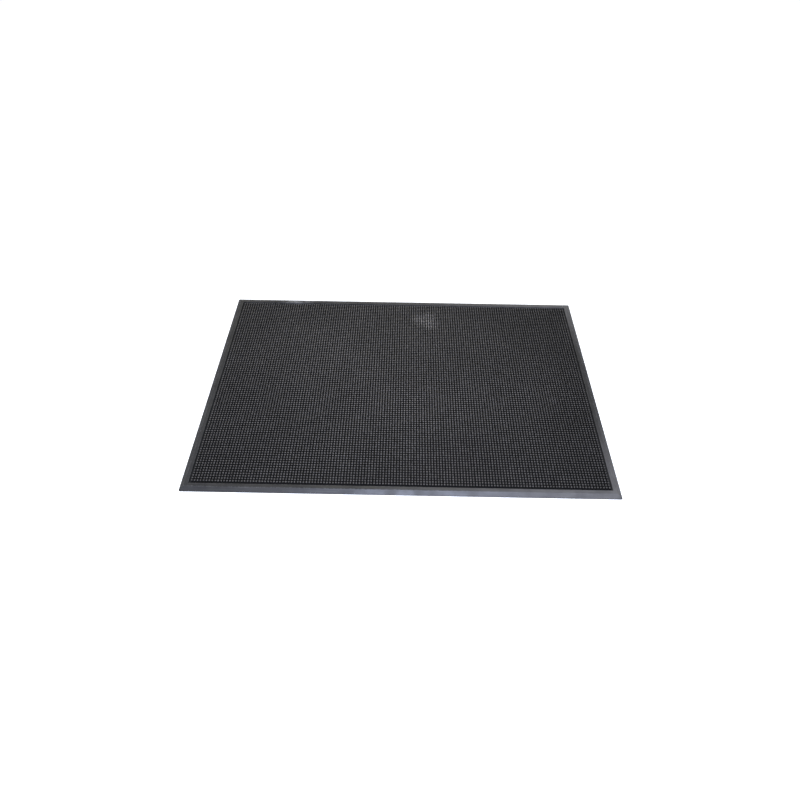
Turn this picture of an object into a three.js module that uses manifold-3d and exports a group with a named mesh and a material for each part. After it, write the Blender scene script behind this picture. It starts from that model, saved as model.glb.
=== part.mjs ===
// A black rubber finger mat for an entrance: bevelled edging strips, mitred at the corners, round a thin base sheet
// that carries a close square grid of short rubber fingers.
// Millimetres, +Z up. The origin is the centre of the underside, +X runs along the long side and -Y is the front edge.
import * as THREE from "three";
import { mergeVertices } from "three/addons/utils/BufferGeometryUtils.js";
import Module from "manifold-3d";

// Driving dimensions of the whole mat.
const LENGTH = 900;
const WIDTH = 600;
const CORNER_RADIUS = 3;

// The finger grid: columns run along X and rows along Y. The pitch is in sixty-fourths, so that neighbouring panels
// meet in exactly the same plane.
const FINGER_PITCH = 6 + 1 / 64;
const FINGER_COLUMNS = 143;
const FINGER_ROWS = 93;
const FINGER_TOP = 7.5;
const PANEL_COUNT = 11;

// The base sheet under the fingers.
const BASE_THICKNESS = 1.75;

// The edging strip's cross-section: d is the distance inwards from the mat's outer edge.
const EDGE_HEIGHT = 1.5;
const BEVEL_RUN = 9.5;
const LAND_HEIGHT = 7;
const LAND_END = 17;
const STRIP_WIDTH = 17.5;
const EDGE_ROUND = 0.5;
const CREST_ROUND = 2;
const LIP_ROUND = 0.75;

// Fineness of the faceted rounds, and how close two vertices are to count as one.
const ROUND_STEPS = 4;
const CORNER_STEPS = 6;
const MERGE_DISTANCE = 1e-4;

const wasm = await Module();
wasm.setup();

const rubber = (name, colour, roughness) =>
  new THREE.MeshStandardMaterial({ name, color: colour, roughness, metalness: 0 });
const borderRubber = rubber("border_rubber", 0x4a4a4c, 0.5);
const fingerRubber = rubber("finger_rubber", 0x2b2b2d, 0.55);
const baseRubber = rubber("base_rubber", 0x1c1c1d, 0.8);

// A three.js geometry as a manifold-3d solid.
function solidOf(geometry) {
  const plain = geometry.clone();
  plain.deleteAttribute("normal");
  plain.deleteAttribute("uv");
  const merged = mergeVertices(plain, MERGE_DISTANCE);
  return new wasm.Manifold(
    new wasm.Mesh({
      numProp: 3,
      vertProperties: merged.attributes.position.array,
      triVerts: new Uint32Array(merged.index.array),
    }),
  );
}

// A manifold-3d solid as a three.js geometry.
function geometryOf(solid) {
  const { vertProperties, triVerts, numProp } = solid.getMesh();
  const count = vertProperties.length / numProp;
  const positions = new Float32Array(count * 3);
  for (let i = 0; i < count; i++) {
    positions.set(vertProperties.subarray(i * numProp, i * numProp + 3), i * 3);
  }
  const geometry = new THREE.BufferGeometry();
  geometry.setAttribute("position", new THREE.BufferAttribute(positions, 3));
  geometry.setIndex(new THREE.BufferAttribute(triVerts, 1));
  geometry.computeVertexNormals();
  return geometry;
}

// The mat's outline in plan, a rectangle with slightly rounded corners, as a tall block.
function outlineBlock() {
  const x = LENGTH / 2;
  const y = WIDTH / 2;
  const r = CORNER_RADIUS;
  const outline = new THREE.Shape();
  outline.absarc(x - r, y - r, r, 0, Math.PI / 2);
  outline.absarc(-x + r, y - r, r, Math.PI / 2, Math.PI);
  outline.absarc(-x + r, -y + r, r, Math.PI, 1.5 * Math.PI);
  outline.absarc(x - r, -y + r, r, 1.5 * Math.PI, 2 * Math.PI);
  const block = new THREE.ExtrudeGeometry(outline, {
    depth: 2 * LAND_HEIGHT,
    bevelEnabled: false,
    curveSegments: CORNER_STEPS,
  });
  return block.translate(0, 0, -LAND_HEIGHT / 2);
}

// A vertex of the section rounded off: a quadratic curve that leaves each side at the given distance from it.
function roundedVertex(section, before, vertex, after, distance) {
  const towards = (to) => vertex.clone().lerp(to, distance / vertex.distanceTo(to));
  const start = towards(before);
  const end = towards(after);
  section.lineTo(start.x, start.y);
  section.quadraticCurveTo(vertex.x, vertex.y, end.x, end.y);
}

// The edging strip's cross-section in (d, z): upright outer edge, bevel, flat land and a drafted inner wall.
function edgingSection() {
  const point = (d, z) => new THREE.Vector2(d, z);
  const foot = point(0, 0);
  const edge = point(0, EDGE_HEIGHT);
  const crest = point(BEVEL_RUN, LAND_HEIGHT);
  const lip = point(LAND_END, LAND_HEIGHT);
  const wall = point(STRIP_WIDTH, BASE_THICKNESS);
  const section = new THREE.Shape();
  section.moveTo(foot.x, foot.y);
  roundedVertex(section, foot, edge, crest, EDGE_ROUND);
  roundedVertex(section, edge, crest, lip, CREST_ROUND);
  roundedVertex(section, crest, lip, wall, LIP_ROUND);
  section.lineTo(wall.x, wall.y);
  section.lineTo(STRIP_WIDTH, 0);
  return section;
}

// An edging strip of the given outer length, along X with its outer edge at y = 0 and its body towards +Y.
// Both ends are mitred at 45 degrees: a vertex at distance d from the outer edge is d in from the strip's end.
function edgingStrip(outerLength) {
  const strip = new THREE.ExtrudeGeometry(edgingSection(), {
    depth: outerLength,
    bevelEnabled: false,
    curveSegments: ROUND_STEPS,
  });
  const position = strip.attributes.position;
  for (let i = 0; i < position.count; i++) {
    const d = position.getX(i);
    const z = position.getY(i);
    const far = position.getZ(i) > outerLength / 2;
    const x = far ? outerLength / 2 - d : d - outerLength / 2;
    position.setXYZ(i, x, d, z);
  }
  return strip;
}

// One of the four edging strips, turned to its side of the mat and trimmed to the rounded outline.
function edging(name, outerLength, offset, turn, outline) {
  const placed = edgingStrip(outerLength)
    .translate(0, -offset, 0)
    .rotateZ(turn);
  const mesh = new THREE.Mesh(geometryOf(solidOf(placed).intersect(outline)), borderRubber);
  mesh.name = name;
  return mesh;
}

// The sheet inside the edging that joins it to the fingers.
function baseSheet() {
  const sheet = new THREE.BoxGeometry(LENGTH - 2 * STRIP_WIDTH, WIDTH - 2 * STRIP_WIDTH, BASE_THICKNESS);
  const mesh = new THREE.Mesh(sheet, baseRubber);
  mesh.name = "base_sheet";
  mesh.position.z = BASE_THICKNESS / 2;
  return mesh;
}

// The space that one panel of fingers fills, from the base sheet to the fingertips. Each panel is a whole number of
// finger columns wide and has every row, so that panels meet halfway between two columns.
function fingerPanels() {
  const panels = new THREE.Group();
  const panelWidth = (FINGER_COLUMNS / PANEL_COUNT) * FINGER_PITCH;
  const height = FINGER_TOP - BASE_THICKNESS;
  for (let i = 0; i < PANEL_COUNT; i++) {
    const block = new THREE.BoxGeometry(panelWidth, FINGER_ROWS * FINGER_PITCH, height);
    const mesh = new THREE.Mesh(block, fingerRubber);
    mesh.name = `finger_panel_${String(i + 1).padStart(2, "0")}`;
    mesh.position.x = (i - (PANEL_COUNT - 1) / 2) * panelWidth;
    panels.add(mesh);
  }
  panels.position.z = BASE_THICKNESS + height / 2;
  return panels;
}

function doorMat() {
  const outline = solidOf(outlineBlock());
  const quarter = Math.PI / 2;
  const mat = new THREE.Group();
  mat.add(edging("border_front", LENGTH, WIDTH / 2, 0, outline));
  mat.add(edging("border_right", WIDTH, LENGTH / 2, quarter, outline));
  mat.add(edging("border_back", LENGTH, WIDTH / 2, 2 * quarter, outline));
  mat.add(edging("border_left", WIDTH, LENGTH / 2, 3 * quarter, outline));
  mat.add(baseSheet());
  mat.add(fingerPanels());
  return mat;
}

export default doorMat();
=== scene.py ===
"""A black rubber finger mat: moulded edging, a thin base sheet and 13,299 fingers, built round the CAD frame.

Metres, +Z up, the same frame as the CAD: the origin is the centre of the underside and -Y is the front edge.
"""

import math

import bpy
import numpy as np
from mathutils import Matrix, Vector

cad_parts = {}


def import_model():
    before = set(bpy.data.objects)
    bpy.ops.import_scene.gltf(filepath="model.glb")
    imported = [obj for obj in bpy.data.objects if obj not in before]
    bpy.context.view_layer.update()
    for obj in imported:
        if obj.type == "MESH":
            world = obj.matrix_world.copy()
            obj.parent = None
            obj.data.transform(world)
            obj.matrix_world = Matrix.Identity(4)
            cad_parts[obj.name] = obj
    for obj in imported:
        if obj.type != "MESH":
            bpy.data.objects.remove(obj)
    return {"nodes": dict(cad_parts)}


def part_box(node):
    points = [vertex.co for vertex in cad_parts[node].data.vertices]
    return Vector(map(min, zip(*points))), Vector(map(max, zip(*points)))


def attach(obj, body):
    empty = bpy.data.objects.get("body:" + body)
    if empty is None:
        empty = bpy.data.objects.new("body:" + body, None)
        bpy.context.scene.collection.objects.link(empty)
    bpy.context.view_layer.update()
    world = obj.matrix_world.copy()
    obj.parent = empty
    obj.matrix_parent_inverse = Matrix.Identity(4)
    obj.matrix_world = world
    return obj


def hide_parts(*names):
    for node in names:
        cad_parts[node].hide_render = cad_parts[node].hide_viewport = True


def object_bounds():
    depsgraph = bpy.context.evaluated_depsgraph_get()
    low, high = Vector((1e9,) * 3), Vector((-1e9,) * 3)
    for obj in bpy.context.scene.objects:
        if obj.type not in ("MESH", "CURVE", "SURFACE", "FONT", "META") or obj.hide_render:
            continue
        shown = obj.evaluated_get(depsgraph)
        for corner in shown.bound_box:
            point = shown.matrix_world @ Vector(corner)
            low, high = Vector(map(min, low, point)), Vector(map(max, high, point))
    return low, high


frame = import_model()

CAD_LOW, CAD_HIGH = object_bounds()
MM = 0.001
BODY = "root"

# The mat's outline and the CAD nodes that the looks are built on.
HALF_LENGTH = CAD_HIGH.x
HALF_WIDTH = CAD_HIGH.y
PANEL_NODES = sorted(name for name in frame["nodes"] if name.startswith("finger_panel_"))
BASE_LOW, BASE_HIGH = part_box("base_sheet")
STRIP_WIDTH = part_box("border_front")[1].y + HALF_WIDTH
LAND_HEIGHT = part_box("border_front")[1].z

# The finger grid: every panel holds the same number of columns, and square cells fill it.
COLUMNS_PER_PANEL = 13
PANEL_LOW, PANEL_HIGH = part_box(PANEL_NODES[0])
PITCH = (PANEL_HIGH.x - PANEL_LOW.x) / COLUMNS_PER_PANEL
ROWS = round((PANEL_HIGH.y - PANEL_LOW.y) / PITCH)
FINGERTIP = CAD_HIGH.z

# One finger, from its wide foot on the web to its slightly domed tip.
WEB_THICKNESS = 0.75 * MM
WEB_TOP = BASE_HIGH.z + WEB_THICKNESS
FOOT_RADIUS = 2.35 * MM
SHAFT_FOOT_RADIUS = 1.95 * MM
SHAFT_TOP_RADIUS = 1.8 * MM
FOOT_FILLET = 0.5 * MM
TIP_ROUND = 0.42 * MM
TIP_DOME = 0.06 * MM

# How far the fingers stray from a perfect grid.
LEAN = 0.16 * MM
HEIGHT_SPREAD = 0.07 * MM
GIRTH_SPREAD = 0.03
SEED = 7

# Where the fingertips are paler, partly worn by feet and partly a painted pool of light, and a small spot of
# them painted with a highlight, a painted reflection.
TREAD_AND_LIGHT_CENTRE = (-0.12 * HALF_LENGTH, 0.35 * HALF_WIDTH, FINGERTIP)
HIGHLIGHT_SPOT = (0.13 * HALF_LENGTH, 0.73 * HALF_WIDTH, FINGERTIP)

# Where a highlight is painted on the back edging, and where shoes have polished the front edging.
BACK_HIGHLIGHT_PATCH = (-0.64 * HALF_LENGTH, 0.98 * HALF_WIDTH, LAND_HEIGHT)
POLISHED_FRONT = (0, -HALF_WIDTH, LAND_HEIGHT)

# Anti-slip pips on the underside.
PIP_PITCH = 15 * MM
PIP_RADIUS = 2.8 * MM
PIP_HEIGHT = 0.35 * MM

# The edging's cross-section, from the outer edge inwards.
EDGE_HEIGHT = 1.5 * MM
BEVEL_RUN = 9.5 * MM
LIP_DRAFT = 0.5 * MM
EDGE_ROUND = 0.5 * MM
CREST_ROUND = 3 * MM
LIP_ROUND = 0.8 * MM
CORNER_RADIUS = 3 * MM

# Along a strip its section is repeated at this spacing, and at these distances from the ends, by the mitres.
SECTION_SPACING = 3 * MM
MITRE_REACH = 6 * MM
MITRE_SECTIONS = np.array([0, 0.3, 0.6, 0.9, 1.3, 1.8, 2.4, 3.1]) * MM

# Slow waves in the edging's top: radians per metre along X and Y, the phase, and the share of the height.
WAVE_HEIGHT = 0.1 * MM
WAVES = [(31, 17, 0.6, 1.0), (57, -43, 2.1, 0.7), (118, 97, 0.0, 0.4)]


# ---------------------------------------------------------------- meshes

def mesh_piece(name, vertices, face_groups, material, sharp_angle=60):
    """An object from an array of points and a list of face arrays, each array holding faces of one size.

    It is shaded smooth but across edges sharper than sharp_angle, in degrees.
    """
    counts = np.concatenate([np.full(len(group), group.shape[1]) for group in face_groups])
    corners = np.concatenate([group.ravel() for group in face_groups])
    starts = np.concatenate([[0], np.cumsum(counts)[:-1]])
    mesh = bpy.data.meshes.new(name)
    mesh.vertices.add(len(vertices))
    mesh.vertices.foreach_set("co", vertices.astype(np.float32).ravel())
    mesh.loops.add(len(corners))
    mesh.loops.foreach_set("vertex_index", corners.astype(np.int32))
    mesh.polygons.add(len(counts))
    mesh.polygons.foreach_set("loop_start", starts.astype(np.int32))
    mesh.polygons.foreach_set("loop_total", counts.astype(np.int32))
    mesh.update(calc_edges=True)
    mesh.validate()
    mesh.shade_smooth()
    mesh.set_sharp_from_angle(angle=math.radians(sharp_angle))
    mesh.materials.append(material)
    piece = bpy.data.objects.new(name, mesh)
    bpy.context.scene.collection.objects.link(piece)
    return piece


def add_uv(piece, name, places):
    """A UV map from one (u, v) per vertex."""
    mesh = piece.data
    corner_vertex = np.empty(len(mesh.loops), np.int32)
    mesh.loops.foreach_get("vertex_index", corner_vertex)
    layer = mesh.uv_layers.new(name=name, do_init=False)
    layer.uv.foreach_set("vector", places[corner_vertex].astype(np.float32).ravel())


class Points:
    """Points gathered block by block, each known by its number in the order that they came."""

    def __init__(self):
        self.blocks = []
        self.count = 0

    def add(self, block):
        """Adds an array of points and gives their numbers."""
        numbers = self.count + np.arange(len(block))
        self.blocks.append(block)
        self.count += len(block)
        return numbers

    def joined(self):
        return np.concatenate(self.blocks)


def onward(numbers):
    """Each number's follower in a closed round."""
    return np.roll(numbers, -1, axis=-1)


# ---------------------------------------------------------------- studded sheets

def square_rim(steps):
    """Lattice points round a square of that many steps a side, anticlockwise from its lower right corner."""
    side = np.arange(steps)
    low = np.zeros(steps, int)
    high = np.full(steps, steps)
    walk = [(high, side), (steps - side, high), (low, steps - side), (side, low)]
    return np.concatenate([np.stack(pair, 1) for pair in walk])


# A stud has as many sides as its square cell's rim has points, and starts at the same corner.
RIM_STEPS = 3
RIM = square_rim(RIM_STEPS)
SIDES = len(RIM)
RING_ANGLES = math.radians(-45) + np.arange(SIDES) * 2 * math.pi / SIDES
RING = np.stack([np.cos(RING_ANGLES), np.sin(RING_ANGLES)], 1)


def cell_lattice(columns, rows, pitch):
    """The points on the cells' rims, at z = 0, and the grid of their numbers, -1 inside the cells."""
    size = (columns * RIM_STEPS + 1, rows * RIM_STEPS + 1)
    along, across = np.meshgrid(np.arange(size[0]), np.arange(size[1]), indexing="ij")
    used = (along % RIM_STEPS == 0) | (across % RIM_STEPS == 0)
    number = np.full(size, -1)
    number[used] = np.arange(used.sum())
    step = pitch / RIM_STEPS
    points = np.stack([along[used], across[used], np.zeros(used.sum())], 1) * (step, step, 1)
    return points, number


def stud_rings(points, centre, profile, lean, growth, girth):
    """Adds a ring round every stud for each (radius, height) of the profile, and gives the rings' numbers."""
    tallest = profile[-1][1]
    rings = []
    for radius, height in profile:
        share = height / tallest
        xy = centre[:, None] + lean[:, None] * share**2 + RING * (radius * girth[:, None, None])
        z = np.repeat(height + growth * share, SIDES).reshape(len(centre), SIDES, 1)
        block = np.concatenate([xy, z], 2).reshape(-1, 3)
        rings.append(points.add(block).reshape(-1, SIDES))
    return rings


def ring_quads(inner, outer):
    """Quads between two rings of point numbers, one row per ring, facing out of the outer ring's top."""
    return np.stack([outer, onward(outer), onward(inner), inner], 2).reshape(-1, 4)


def underside_faces(under, along_front, along_side):
    """Faces that close the flat side, whose outline starts at the front left corner and runs anticlockwise.

    They are strips from left to right, and the first and the last take in the front and the back.
    """
    back_right = along_front + along_side
    front = under[:along_front + 1]
    right = under[along_front:back_right + 1]
    back = under[back_right:back_right + along_front + 1]
    left = np.concatenate([under[:1], under[:back_right + along_front - 1:-1]])
    strips = np.stack([left[1:-2], left[2:-1], right[2:-1], right[1:-2]], 1)
    front_face = np.concatenate([front[::-1], left[1:2], right[1:2]])
    back_face = np.concatenate([back[::-1], right[-2:-1], left[-2:-1]])
    return [strips, front_face[None], back_face[None]]


def studded_sheet(columns, rows, pitch, thickness, profile, dome, lean, growth, girth):
    """A closed sheet, its top at z = 0, with a round stud in each square cell of a grid from (0, 0).

    profile lists (radius, height) rings up a stud. lean, growth and girth hold one value per stud: how far
    its tip strays sideways, how much taller it is, and its share of the nominal radius.
    """
    points = Points()
    lattice, number = cell_lattice(columns, rows, pitch)
    points.add(lattice)

    column, row = (grid.ravel() for grid in np.meshgrid(np.arange(columns), np.arange(rows), indexing="ij"))
    centre = np.stack([column + 0.5, row + 0.5], 1) * pitch
    rim = number[column[:, None] * RIM_STEPS + RIM[:, 0], row[:, None] * RIM_STEPS + RIM[:, 1]]
    rings = [rim] + stud_rings(points, centre, profile, lean, growth, girth)
    faces = [ring_quads(upper, lower) for lower, upper in zip(rings, rings[1:])]

    top = rings[-1]
    crown = points.add(np.column_stack([centre + lean, profile[-1][1] + growth + dome]))
    fan = np.stack([top, onward(top), np.repeat(crown[:, None], SIDES, 1)], 2)
    faces.append(fan.reshape(-1, 3))

    outline = np.concatenate([number[:-1, 0], number[-1, :-1], number[:0:-1, -1], number[0, :0:-1]])
    under = points.add(lattice[outline] - (0, 0, thickness))
    faces.append(np.stack([outline, under, onward(under), onward(outline)], 1))
    faces += underside_faces(under, columns * RIM_STEPS, rows * RIM_STEPS)
    return points.joined(), faces


def finger_profile():
    """Rings up a finger as (radius, height): a filleted foot, a tapered shaft and a rounded tip."""
    height = FINGERTIP - WEB_TOP
    return [
        (FOOT_RADIUS, 0.0),
        (SHAFT_FOOT_RADIUS, FOOT_FILLET),
        (SHAFT_TOP_RADIUS, height - TIP_ROUND),
        (SHAFT_TOP_RADIUS - 0.3 * TIP_ROUND, height - 0.3 * TIP_ROUND),
        (SHAFT_TOP_RADIUS - 1.1 * TIP_ROUND, height),
    ]


def finger_panel(name, material, random):
    """One panel of fingers on its stretch of web, standing on the base sheet."""
    low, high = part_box(name)
    count = COLUMNS_PER_PANEL * ROWS
    points, faces = studded_sheet(
        COLUMNS_PER_PANEL, ROWS, PITCH, WEB_THICKNESS, finger_profile(), TIP_DOME,
        lean=random.normal(0, LEAN, (count, 2)),
        growth=random.normal(0, HEIGHT_SPREAD, count),
        girth=random.normal(1, GIRTH_SPREAD, count),
    )
    points += (low.x, low.y, WEB_TOP)
    piece = mesh_piece(name.replace("finger_panel", "fingers"), points, faces, material)
    span = np.array([high.x - low.x, high.y - low.y])
    add_uv(piece, "OFBake", (points[:, :2] - (low.x, low.y)) / span)
    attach(piece, BODY)
    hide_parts(name)


def pip_profile():
    """Rings up a pip as (radius, height): an upright foot ring, then a chamfer."""
    return [
        (PIP_RADIUS, 0.0),
        (PIP_RADIUS - 0.35 * PIP_HEIGHT, 0.65 * PIP_HEIGHT),
        (PIP_RADIUS - PIP_HEIGHT, PIP_HEIGHT),
    ]


def base_sheet(material):
    """The thin sheet under the fingers, with low anti-slip pips on its underside."""
    size = BASE_HIGH - BASE_LOW
    columns = round(size.x / PIP_PITCH)
    rows = round(size.y / PIP_PITCH)
    count = columns * rows
    points, faces = studded_sheet(
        columns, rows, PIP_PITCH, size.z - PIP_HEIGHT, pip_profile(), 0.0,
        lean=np.zeros((count, 2)), growth=np.zeros(count), girth=np.ones(count),
    )
    # Stretched to the CAD sheet's size, then turned over about its long axis, so that the pips point down.
    points[:, :2] *= np.array([size.x, size.y]) / (columns * PIP_PITCH, rows * PIP_PITCH)
    points = points * (1, -1, -1) + (BASE_LOW.x, BASE_HIGH.y, PIP_HEIGHT)
    piece = mesh_piece("base", points, faces, material)
    add_uv(piece, "OFBake", (points[:, :2] - (BASE_LOW.x, BASE_LOW.y)) / (size.x, size.y))
    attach(piece, BODY)
    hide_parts("base_sheet")


# ---------------------------------------------------------------- edging

def rounded(before, corner, after, radius, steps):
    """Points of the arc that rounds a corner between two straight sides."""
    before, corner, after = (np.array(place, float) for place in (before, corner, after))
    to_before = (before - corner) / np.linalg.norm(before - corner)
    to_after = (after - corner) / np.linalg.norm(after - corner)
    half_angle = math.acos(np.clip(to_before @ to_after, -1, 1)) / 2
    reach = radius / math.tan(half_angle)
    middle = (to_before + to_after) / np.linalg.norm(to_before + to_after)
    centre = corner + middle * radius / math.sin(half_angle)
    start = corner + to_before * reach - centre
    end = corner + to_after * reach - centre
    sweep = math.pi - 2 * half_angle
    shares = np.linspace(0, 1, steps + 1)[:, None]
    return centre + (np.sin((1 - shares) * sweep) * start + np.sin(shares * sweep) * end) / math.sin(sweep)


def between(start, end, steps):
    """Evenly spaced points strictly between two others."""
    shares = np.linspace(0, 1, steps + 1)[1:-1, None]
    return np.array(start) * (1 - shares) + np.array(end) * shares


def edging_section():
    """The strip's outline as (distance inwards, height), from the outer foot over to the inner foot."""
    outer_foot = (0, 0)
    edge_top = (0, EDGE_HEIGHT)
    crest = (BEVEL_RUN, LAND_HEIGHT)
    lip = (STRIP_WIDTH - LIP_DRAFT, LAND_HEIGHT)
    inner_foot = (STRIP_WIDTH, 0)
    edge_arc = rounded(outer_foot, edge_top, crest, EDGE_ROUND, 4)
    crest_arc = rounded(edge_top, crest, lip, CREST_ROUND, 6)
    lip_arc = rounded(crest, lip, inner_foot, LIP_ROUND, 5)
    return np.concatenate([
        [outer_foot],
        edge_arc,
        between(edge_arc[-1], crest_arc[0], 6),
        crest_arc,
        between(crest_arc[-1], lip_arc[0], 6),
        lip_arc,
        between(lip_arc[-1], inner_foot, 4),
        [inner_foot],
    ])


def stations(length):
    """Places along a strip at which its section is repeated, as shares of its half length."""
    half = length / 2
    spread = np.linspace(0, length - 2 * MITRE_REACH, round(length / SECTION_SPACING))
    first = -half + MITRE_SECTIONS
    middle = -half + MITRE_REACH + spread
    last = half - MITRE_SECTIONS[::-1]
    return np.concatenate([first, middle, last]) / half


def round_corners(points):
    """Pulls the outermost corners of the outline in to their radius."""
    u = np.maximum(np.abs(points[:, 0]) - (HALF_LENGTH - CORNER_RADIUS), 0)
    v = np.maximum(np.abs(points[:, 1]) - (HALF_WIDTH - CORNER_RADIUS), 0)
    reach = np.hypot(u, v)
    shrink = np.where(reach > 0, np.maximum(u, v) / np.maximum(reach, 1e-12), 1)
    points[:, 0] -= np.sign(points[:, 0]) * u * (1 - shrink)
    points[:, 1] -= np.sign(points[:, 1]) * v * (1 - shrink)


def moulding_waves(points):
    """Slow waves in the top of the edging, as rubber that has been rolled up and laid flat again has."""
    x, y = points[:, 0], points[:, 1]
    slow = sum(share * np.sin(along * x + across * y + phase) for along, across, phase, share in WAVES)
    lift = np.clip(points[:, 2] / LAND_HEIGHT, 0, 1)
    points[:, 2] += WAVE_HEIGHT * slow * lift


def turned(points, turn):
    """Points turned about the Z axis by a number of quarter turns anticlockwise."""
    cosine = round(math.cos(turn * math.pi / 2))
    sine = round(math.sin(turn * math.pi / 2))
    return points @ np.array([[cosine, -sine, 0], [sine, cosine, 0], [0, 0, 1]]).T


def edging(name, turn, material):
    """One strip of edging, mitred at both ends. turn is its quarter turns anticlockwise from the front."""
    half_along, half_out = (HALF_LENGTH, HALF_WIDTH) if turn % 2 == 0 else (HALF_WIDTH, HALF_LENGTH)
    section = edging_section()
    run = stations(2 * half_along)
    inward = section[:, 0]
    along = run[:, None] * (half_along - inward)[None, :]
    out = np.broadcast_to(inward - half_out, along.shape)
    height = np.broadcast_to(section[:, 1], along.shape)
    points = turned(np.stack([along, out, height], 2).reshape(-1, 3), turn)
    round_corners(points)
    moulding_waves(points)

    count = len(section)
    number = np.arange(len(points)).reshape(len(run), count)
    walls = np.stack([number[1:], onward(number[1:]), onward(number[:-1]), number[:-1]], 2)
    faces = [walls.reshape(-1, 4), number[:1], number[-1:, ::-1]]
    piece = mesh_piece(name.replace("border", "edging"), points, faces, material, sharp_angle=35)

    # OFBake is the strip unrolled, and Strip holds metres along it and inwards from its outer edge.
    girth = np.concatenate([[0], np.cumsum(np.linalg.norm(np.diff(section, axis=0), axis=1))])
    unrolled = np.stack([np.repeat(run / 2 + 0.5, count), np.tile(girth / girth[-1], len(run))], 1)
    add_uv(piece, "OFBake", unrolled)
    add_uv(piece, "Strip", np.stack([along.ravel(), np.tile(inward, len(run))], 1))
    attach(piece, BODY)
    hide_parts(name)


# ---------------------------------------------------------------- material nodes

class Nodes:
    """A small helper that adds nodes to one material or world and joins them up."""

    def __init__(self, owner):
        owner.use_nodes = True
        self.owner = owner
        self.tree = owner.node_tree

    def node(self, kind, inputs=None, **settings):
        made = self.tree.nodes.new(kind)
        for key, value in settings.items():
            setattr(made, key, value)
        for key, value in (inputs or {}).items():
            self.feed(made.inputs[key], value)
        return made

    def feed(self, socket, value):
        """Joins an output to the socket, or sets the socket to a plain value."""
        if isinstance(value, bpy.types.NodeSocket):
            self.tree.links.new(value, socket)
        else:
            socket.default_value = value

    def surface(self, **values):
        """Sets or joins sockets of the material's own shader. Names have _ where the socket's has a space."""
        shader = self.tree.nodes["Principled BSDF"]
        for key, value in values.items():
            self.feed(shader.inputs[key.replace("_", " ")], value)

    def place(self):
        """The place on the object, in metres."""
        return self.node("ShaderNodeTexCoord").outputs["Object"]

    def part(self, vector, axis):
        """A vector's share along X, Y or Z."""
        return self.node("ShaderNodeSeparateXYZ", {"Vector": vector}).outputs[axis]

    def math(self, operation, first, second=0.0):
        return self.node("ShaderNodeMath", {0: first, 1: second}, operation=operation).outputs[0]

    def vector_math(self, operation, first, second):
        return self.node("ShaderNodeVectorMath", {0: first, 1: second}, operation=operation).outputs[0]

    def times(self, first, second):
        return self.math("MULTIPLY", first, second)

    def plus(self, first, second):
        return self.math("ADD", first, second)

    def span(self, value, low, high, to_low=0.0, to_high=1.0):
        """Maps a value's range smoothly to another, held at both ends."""
        inputs = {"Value": value, "From Min": low, "From Max": high, "To Min": to_low, "To Max": to_high}
        return self.node("ShaderNodeMapRange", inputs, interpolation_type="SMOOTHSTEP").outputs["Result"]

    def noise(self, place, scale, detail=3.0, roughness=0.55):
        inputs = {"Vector": place, "Scale": scale, "Detail": detail, "Roughness": roughness}
        return self.node("ShaderNodeTexNoise", inputs).outputs["Fac"]

    def noise_vector(self, place, scale):
        """A vector that wanders round zero."""
        noise = self.node("ShaderNodeTexNoise", {"Vector": place, "Scale": scale}).outputs["Color"]
        return self.vector_math("SUBTRACT", noise, (0.5, 0.5, 0.5))

    def drawn_out(self, place, scale, detail=4.0):
        """A noise with a scale of its own along each axis."""
        stretched = self.node("ShaderNodeMapping", {"Vector": place, "Scale": scale}).outputs[0]
        return self.noise(stretched, 1.0, detail)

    def near(self, place, centre, full, gone, outside=0.0, inside=1.0):
        """One value within the distance full of a centre, fading to another at the distance gone."""
        away = self.node("ShaderNodeVectorMath", {0: place, 1: centre}, operation="DISTANCE").outputs["Value"]
        return self.span(away, full, gone, inside, outside)

    def mix(self, share, first, second):
        made = self.node("ShaderNodeMix", data_type="RGBA")
        self.feed(made.inputs[0], share)
        self.feed(made.inputs[6], first)
        self.feed(made.inputs[7], second)
        return made.outputs[2]

    def bump(self, relief, strength, distance):
        """A normal from a relief that runs from 0 to 1 over the given distance."""
        inputs = {"Height": relief, "Strength": strength, "Distance": distance}
        return self.node("ShaderNodeBump", inputs).outputs[0]


def grey(level, warmth=0.0):
    """A near neutral linear colour. A positive warmth leans it to brown and a negative one to blue."""
    return (level * (1 + warmth), level, level * (1 - warmth), 1)


# The rubbers' greys, dark and light (the web's near black is painted shade), and what dust, wear, painted
# light and painted shade turn them to.
EDGING_GREYS = (grey(0.023, 0.03), grey(0.033, 0.05))
# The web's greys are far darker than the edging's rubber: painted shade between the fingers.
WEB_SHADE_GREYS = (grey(0.002), grey(0.0035, 0.02))
BASE_GREYS = (grey(0.004), grey(0.007, 0.03))
# Partly dust, partly painted light on the brighter right side.
EDGING_DUST_AND_LIGHT = grey(0.145, 0.05)
PALE_STREAK = grey(0.1, 0.04)
RUBBED_STREAK = grey(0.03, 0.04)
SCUFF = grey(0.14, 0.03)
# Painted highlight on the back edging.
BACK_HIGHLIGHT_GREY = grey(0.27)
SPECK = grey(0.2, 0.06)
# Painted shade on the outer edge and in the groove.
UPRIGHT_SHADE = grey(0.008)
# Partly dust and wear, partly painted light: the upper shafts and tips paler, as the fingers' tops catch the
# light.
SHAFT_TOP_DUST_AND_LIGHT = grey(0.07, 0.07)
WORN_AND_LIT_TIP = grey(0.185, 0.075)
# Painted highlight: a lamp's reflection painted on the fingertips of one spot.
HIGHLIGHT_TIP = grey(0.33, 0.07)
BASE_DUST = grey(0.025, 0.1)
WORN_PIP = grey(0.03, 0.04)
WHITE = (1, 1, 1, 1)


def rubber_base(shader, place, greys):
    """Black rubber's slow patches of colour, common to all three rubbers."""
    patches = shader.noise(place, 9.0, detail=4.0)
    mottle = shader.noise(place, 70.0, detail=4.0)
    blend = shader.plus(shader.times(patches, 0.6), shader.times(mottle, 0.4))
    return shader.mix(shader.span(blend, 0.38, 0.62), *greys)


# ---------------------------------------------------------------- the edging's rubber

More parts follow.
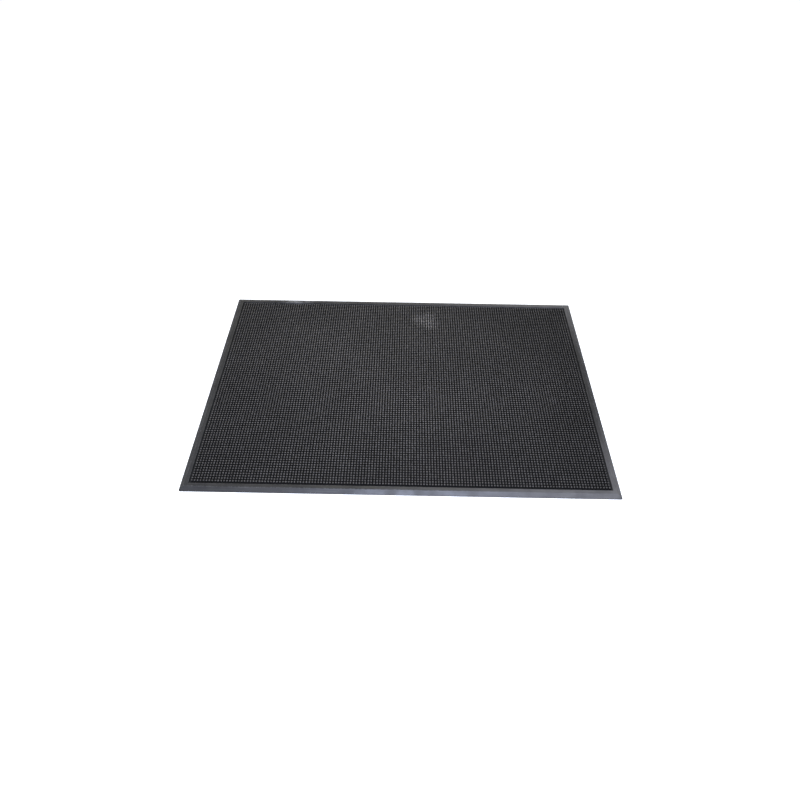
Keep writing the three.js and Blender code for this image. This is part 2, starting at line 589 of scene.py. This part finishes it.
def dust_and_light_share(shader, place):
    """0 where the edging is clean, to 1 where it is painted paler by the corners on the right: partly grey
    dust, partly painted light where the right side is brighter.
    """
    wander = shader.times(shader.plus(shader.noise(place, 6.0), -0.5), 0.2)
    rightward = shader.plus(shader.part(place, "X"), wander)
    from_middle = shader.plus(shader.math("ABSOLUTE", shader.part(place, "Y")), wander)
    return shader.times(shader.span(rightward, -0.4 * HALF_LENGTH, HALF_LENGTH),
                        shader.span(from_middle, 0.3 * HALF_WIDTH, HALF_WIDTH))


def scuffing(shader, place, inward):
    """Where the crest and the lip of the edging are scuffed."""
    to_crest = shader.math("ABSOLUTE", shader.plus(inward, -BEVEL_RUN))
    to_lip = shader.math("ABSOLUTE", shader.plus(inward, LIP_DRAFT - STRIP_WIDTH))
    nearest = shader.math("MINIMUM", to_crest, to_lip)
    broken = shader.span(shader.noise(place, 260.0, detail=5.0), 0.42, 0.66)
    return shader.times(shader.span(nearest, 0.3 * MM, 1.6 * MM, 1.0, 0.0), broken)


def shaded_upright_faces(shader, inward):
    """The outer edge and the groove's wall, darkened with painted shade."""
    edge = shader.span(inward, 0.2 * MM, 0.8 * MM, 0.85, 0.0)
    groove = shader.span(inward, STRIP_WIDTH - 0.7 * MM, STRIP_WIDTH, 0.0, 0.85)
    return shader.plus(edge, groove)


def border_colour(shader, place, strip, dust_and_light, smudges, streaks):
    """Black rubber under dust and painted light on the right, streaks along the strip, scuffs, a painted
    highlight patch, specks and painted shade on the upright faces.
    """
    inward = shader.part(strip, "Y")
    colour = rubber_base(shader, place, EDGING_GREYS)
    # Partly dust, partly painted light towards the right corners.
    colour = shader.mix(dust_and_light, colour, EDGING_DUST_AND_LIGHT)
    colour = shader.mix(shader.span(streaks, 0.48, 0.7, 0.0, 0.3), colour, PALE_STREAK)
    rubbed = shader.drawn_out(strip, (18, 240, 1))
    colour = shader.mix(shader.span(rubbed, 0.52, 0.7, 0.0, 0.3), colour, RUBBED_STREAK)
    colour = shader.mix(shader.times(scuffing(shader, place, inward), 0.4), colour, SCUFF)
    # Painted highlight: a pale patch on the back edging where a tilt of the edge would catch the light.
    back_highlight = shader.times(shader.near(place, BACK_HIGHLIGHT_PATCH, 0.025, 0.05), smudges)
    colour = shader.mix(shader.times(back_highlight, 0.6), colour, BACK_HIGHLIGHT_GREY)
    specks = shader.span(shader.noise(place, 900.0, detail=2.0), 0.64, 0.76, 0.0, 0.4)
    colour = shader.mix(specks, colour, SPECK)
    # Painted shade on the upright faces.
    return shader.mix(shaded_upright_faces(shader, inward), colour, UPRIGHT_SHADE)


def border_roughness(shader, place, dust_and_light, streaks):
    """Satin, duller where it is dusty (the mask that also paints light on the right) or streaked, and
    smoother where shoes have polished the front.
    """
    rough = shader.plus(shader.span(shader.noise(place, 24.0), 0.35, 0.65, 0.5, 0.62),
                        shader.plus(shader.times(streaks, 0.06), shader.times(dust_and_light, 0.14)))
    return shader.plus(rough, shader.near(place, POLISHED_FRONT, 0.28, 0.46, 0.0, -0.15))


def border_relief(shader, place, strip):
    """A fine grain, and long low ripples that run along the strip."""
    grain = shader.noise(place, 1500.0)
    ripple = shader.drawn_out(strip, (22, 160, 1), detail=2.0)
    relief = shader.plus(shader.times(grain, 0.08), shader.times(ripple, 0.35))
    return shader.bump(relief, 0.35, 0.5 * MM)


def border_rubber():
    """Satin black rubber, scuffed along the crest and the lip, with faint marks that run along the strip."""
    shader = Nodes(bpy.data.materials.new("border_rubber"))
    place = shader.place()
    strip = shader.node("ShaderNodeUVMap", uv_map="Strip").outputs["UV"]
    smudges = shader.span(shader.noise(place, 34.0, detail=5.0, roughness=0.65), 0.34, 0.62)
    dust_and_light = shader.times(dust_and_light_share(shader, place), shader.plus(shader.times(smudges, 0.3), 0.6))
    streaks = shader.drawn_out(strip, (14, 420, 1))
    shader.surface(
        Base_Color=border_colour(shader, place, strip, dust_and_light, smudges, streaks),
        Roughness=border_roughness(shader, place, dust_and_light, streaks),
        Specular_IOR_Level=0.4,
        Normal=border_relief(shader, place, strip),
    )
    return shader.owner


# ---------------------------------------------------------------- the fingers' and the base's rubber

def each_finger(shader, place):
    """A value from 0 to 1 for each finger.

    Fingers stand at whole multiples of the pitch, so the cells are half a pitch off.
    """
    shifted = shader.vector_math("ADD", place, (PITCH / 2, PITCH / 2, 0))
    cell = shader.vector_math("SNAP", shifted, (PITCH, PITCH, 1))
    return shader.node("ShaderNodeTexWhiteNoise", {"Vector": cell}, noise_dimensions="3D").outputs["Value"]


def worn_and_lit_share(shader, place):
    """How far the fingers are painted paler: most round the tread's centre, and in patches; partly wear from
    feet, partly a painted pool of light.
    """
    return shader.times(shader.near(place, TREAD_AND_LIGHT_CENTRE, 0.05, 0.6, 0.5, 1.0),
                        shader.span(shader.noise(place, 5.0), 0.3, 0.7, 0.8, 1.0))


def highlight_share(shader, place, tip, each):
    """How far the fingertips of an uneven spot are painted pale: a painted highlight, a lamp's reflection."""
    wander = shader.vector_math("MULTIPLY", shader.noise_vector(place, 30.0), (0.06, 0.06, 0.0))
    spot = shader.near(shader.vector_math("ADD", place, wander), HIGHLIGHT_SPOT, 0.016, 0.042)
    return shader.times(shader.times(tip, spot), shader.span(each, 0.0, 1.0, 0.5, 1.0))


def finger_rubber():
    """Matt black rubber, its web and low shafts painted near black as shade, paler up the shafts and at the
    tips as partly dust and wear, partly painted light, with a painted highlight spot; each finger a little
    different from the next.
    """
    shader = Nodes(bpy.data.materials.new("finger_rubber"))
    place = shader.place()
    height = shader.part(place, "Z")
    each = each_finger(shader, place)
    # Partly wear, partly a painted pool of light round the tread's centre.
    worn_and_lit = worn_and_lit_share(shader, place)
    tip = shader.span(height, FINGERTIP - 0.9 * MM, FINGERTIP - 0.1 * MM)

    # Painted shade: the fingers start near black, as shade in the gaps between them.
    colour = rubber_base(shader, place, WEB_SHADE_GREYS)
    shaft = shader.span(height, WEB_TOP + 1.9 * MM, FINGERTIP - 0.3 * MM)
    # Partly dust, partly painted light on the upper shafts.
    colour = shader.mix(shader.times(shaft, worn_and_lit), colour, SHAFT_TOP_DUST_AND_LIGHT)
    grimy = shader.span(shader.noise(place, 800.0, detail=4.0), 0.35, 0.6, 0.65, 1.0)
    kept = shader.times(shader.span(each, 0.0, 1.0, 0.6, 1.0), grimy)
    # Partly wear, partly painted light on the tips.
    colour = shader.mix(shader.times(shader.times(tip, worn_and_lit), kept), colour, WORN_AND_LIT_TIP)
    # Painted highlight on a spot of fingertips.
    colour = shader.mix(highlight_share(shader, place, tip, each), colour, HIGHLIGHT_TIP)

    rough = shader.plus(shader.span(each, 0.0, 1.0, 0.6, 0.7), shader.times(tip, -0.22))
    grain = shader.noise(place, 2200.0)
    shader.surface(Base_Color=colour, Roughness=rough, Specular_IOR_Level=0.2,
                   Normal=shader.bump(grain, 0.25, 0.06 * MM))
    return shader.owner


def base_rubber():
    """Matt black rubber, with grey dust and pips worn a little paler."""
    shader = Nodes(bpy.data.materials.new("base_rubber"))
    place = shader.place()
    colour = rubber_base(shader, place, BASE_GREYS)
    dust = shader.span(shader.noise(place, 240.0, detail=5.0), 0.5, 0.72, 0.0, 0.4)
    colour = shader.mix(dust, colour, BASE_DUST)
    worn = shader.span(shader.part(place, "Z"), 0.05 * MM, PIP_HEIGHT, 0.6, 0.0)
    colour = shader.mix(worn, colour, WORN_PIP)
    rough = shader.span(shader.noise(place, 40.0), 0.35, 0.65, 0.62, 0.78)
    grain = shader.noise(place, 1300.0, detail=4.0)
    shader.surface(Base_Color=colour, Roughness=rough, Normal=shader.bump(grain, 0.4, 0.1 * MM))
    return shader.owner


# ---------------------------------------------------------------- stage, light and camera

def floor_material():
    """A plain white studio floor, which glows so that it stays white far from the lights."""
    shader = Nodes(bpy.data.materials.new("studio_floor"))
    shader.surface(Base_Color=grey(0.86), Roughness=0.9, Specular_IOR_Level=0.1,
                   Emission_Color=WHITE, Emission_Strength=0.74)
    return shader.owner


def floor():
    """A wide plain floor just under the mat."""
    reach = 12.0
    drop = 0.05 * MM
    signs = np.array([(-1, -1), (1, -1), (1, 1), (-1, 1)])
    corners = np.column_stack([signs * reach, np.full(len(signs), -drop)])
    plane = mesh_piece("studio_floor", corners, [np.array([[0, 1, 2, 3]])], floor_material())


def world():
    """A pale room: it lights the mat more from the horizon than from overhead, and looks plain white."""
    sky = Nodes(bpy.data.worlds.new("studio"))
    upward = sky.part(sky.node("ShaderNodeTexCoord").outputs["Generated"], "Z")
    light = sky.span(upward, 0.08, 0.4, 0.4, 0.25)
    seen = sky.node("ShaderNodeLightPath").outputs["Is Camera Ray"]
    background = sky.tree.nodes["Background"]
    sky.feed(background.inputs["Color"], WHITE)
    sky.feed(background.inputs["Strength"], sky.math("MAXIMUM", light, seen))
    bpy.context.scene.world = sky.owner


def area_light(name, place, target, size, power, colour):
    """A soft rectangular light at a place, turned to face a target."""
    data = bpy.data.lights.new(name, "AREA")
    data.shape = "RECTANGLE"
    data.size, data.size_y = size
    data.energy = power
    data.color = colour
    light = bpy.data.objects.new(name, data)
    light.location = place
    light.rotation_euler = (Vector(target) - Vector(place)).to_track_quat("-Z", "Y").to_euler()
    bpy.context.scene.collection.objects.link(light)


def lights():
    """A small cool key light before the mat, which gives the front edging its sheen, and three warm fills."""
    area_light("key_front", place=(0.13, -1.35, 1.6), target=(0.03, -0.3, 0),
               size=(0.4, 0.4), power=46, colour=(0.66, 0.74, 1.0))
    area_light("fill_left", place=(-0.5, -1.5, 2.4), target=(0, 0, 0),
               size=(1.4, 1.0), power=6, colour=(1.0, 0.97, 0.82))
    area_light("broad_back", place=(0, 1.6, 2.2), target=(0, 0, 0),
               size=(1.2, 1.0), power=18, colour=(1.0, 0.97, 0.8))
    area_light("back_left", place=(-0.8, 1.8, 1.6), target=(0, 0, 0),
               size=(1.2, 0.8), power=4, colour=(1.0, 0.98, 0.92))


def camera():
    """The photograph's view: standing at the front edge and looking down at the mat."""
    height = 0.967
    before_front_edge = 0.5586
    side_offset = -0.0014
    tilt_down = math.radians(50.01)
    turn_left = math.radians(0.226)
    roll = math.radians(0.875)
    data = bpy.data.cameras.new("photo_view")
    data.sensor_width = 36.0
    data.lens = 24.44
    data.clip_start = 0.05
    data.clip_end = 100.0
    made = bpy.data.objects.new("photo_view", data)
    turn = (Matrix.Rotation(turn_left, 4, "Z") @ Matrix.Rotation(math.pi / 2 - tilt_down, 4, "X")
            @ Matrix.Rotation(roll, 4, "Z"))
    made.matrix_world = Matrix.Translation((side_offset, -HALF_WIDTH - before_front_edge, height)) @ turn
    bpy.context.scene.collection.objects.link(made)
    bpy.context.scene.camera = made


# ---------------------------------------------------------------- the mat

camera()
floor()
world()
lights()
bpy.context.scene.view_settings.view_transform = "Standard"

random = np.random.default_rng(SEED)
finger_material = finger_rubber()
for node_name in PANEL_NODES:
    finger_panel(node_name, finger_material, random)
base_sheet(base_rubber())
border_material = border_rubber()
for quarter_turns, side in enumerate(["front", "right", "back", "left"]):
    edging("border_" + side, quarter_turns, border_material)
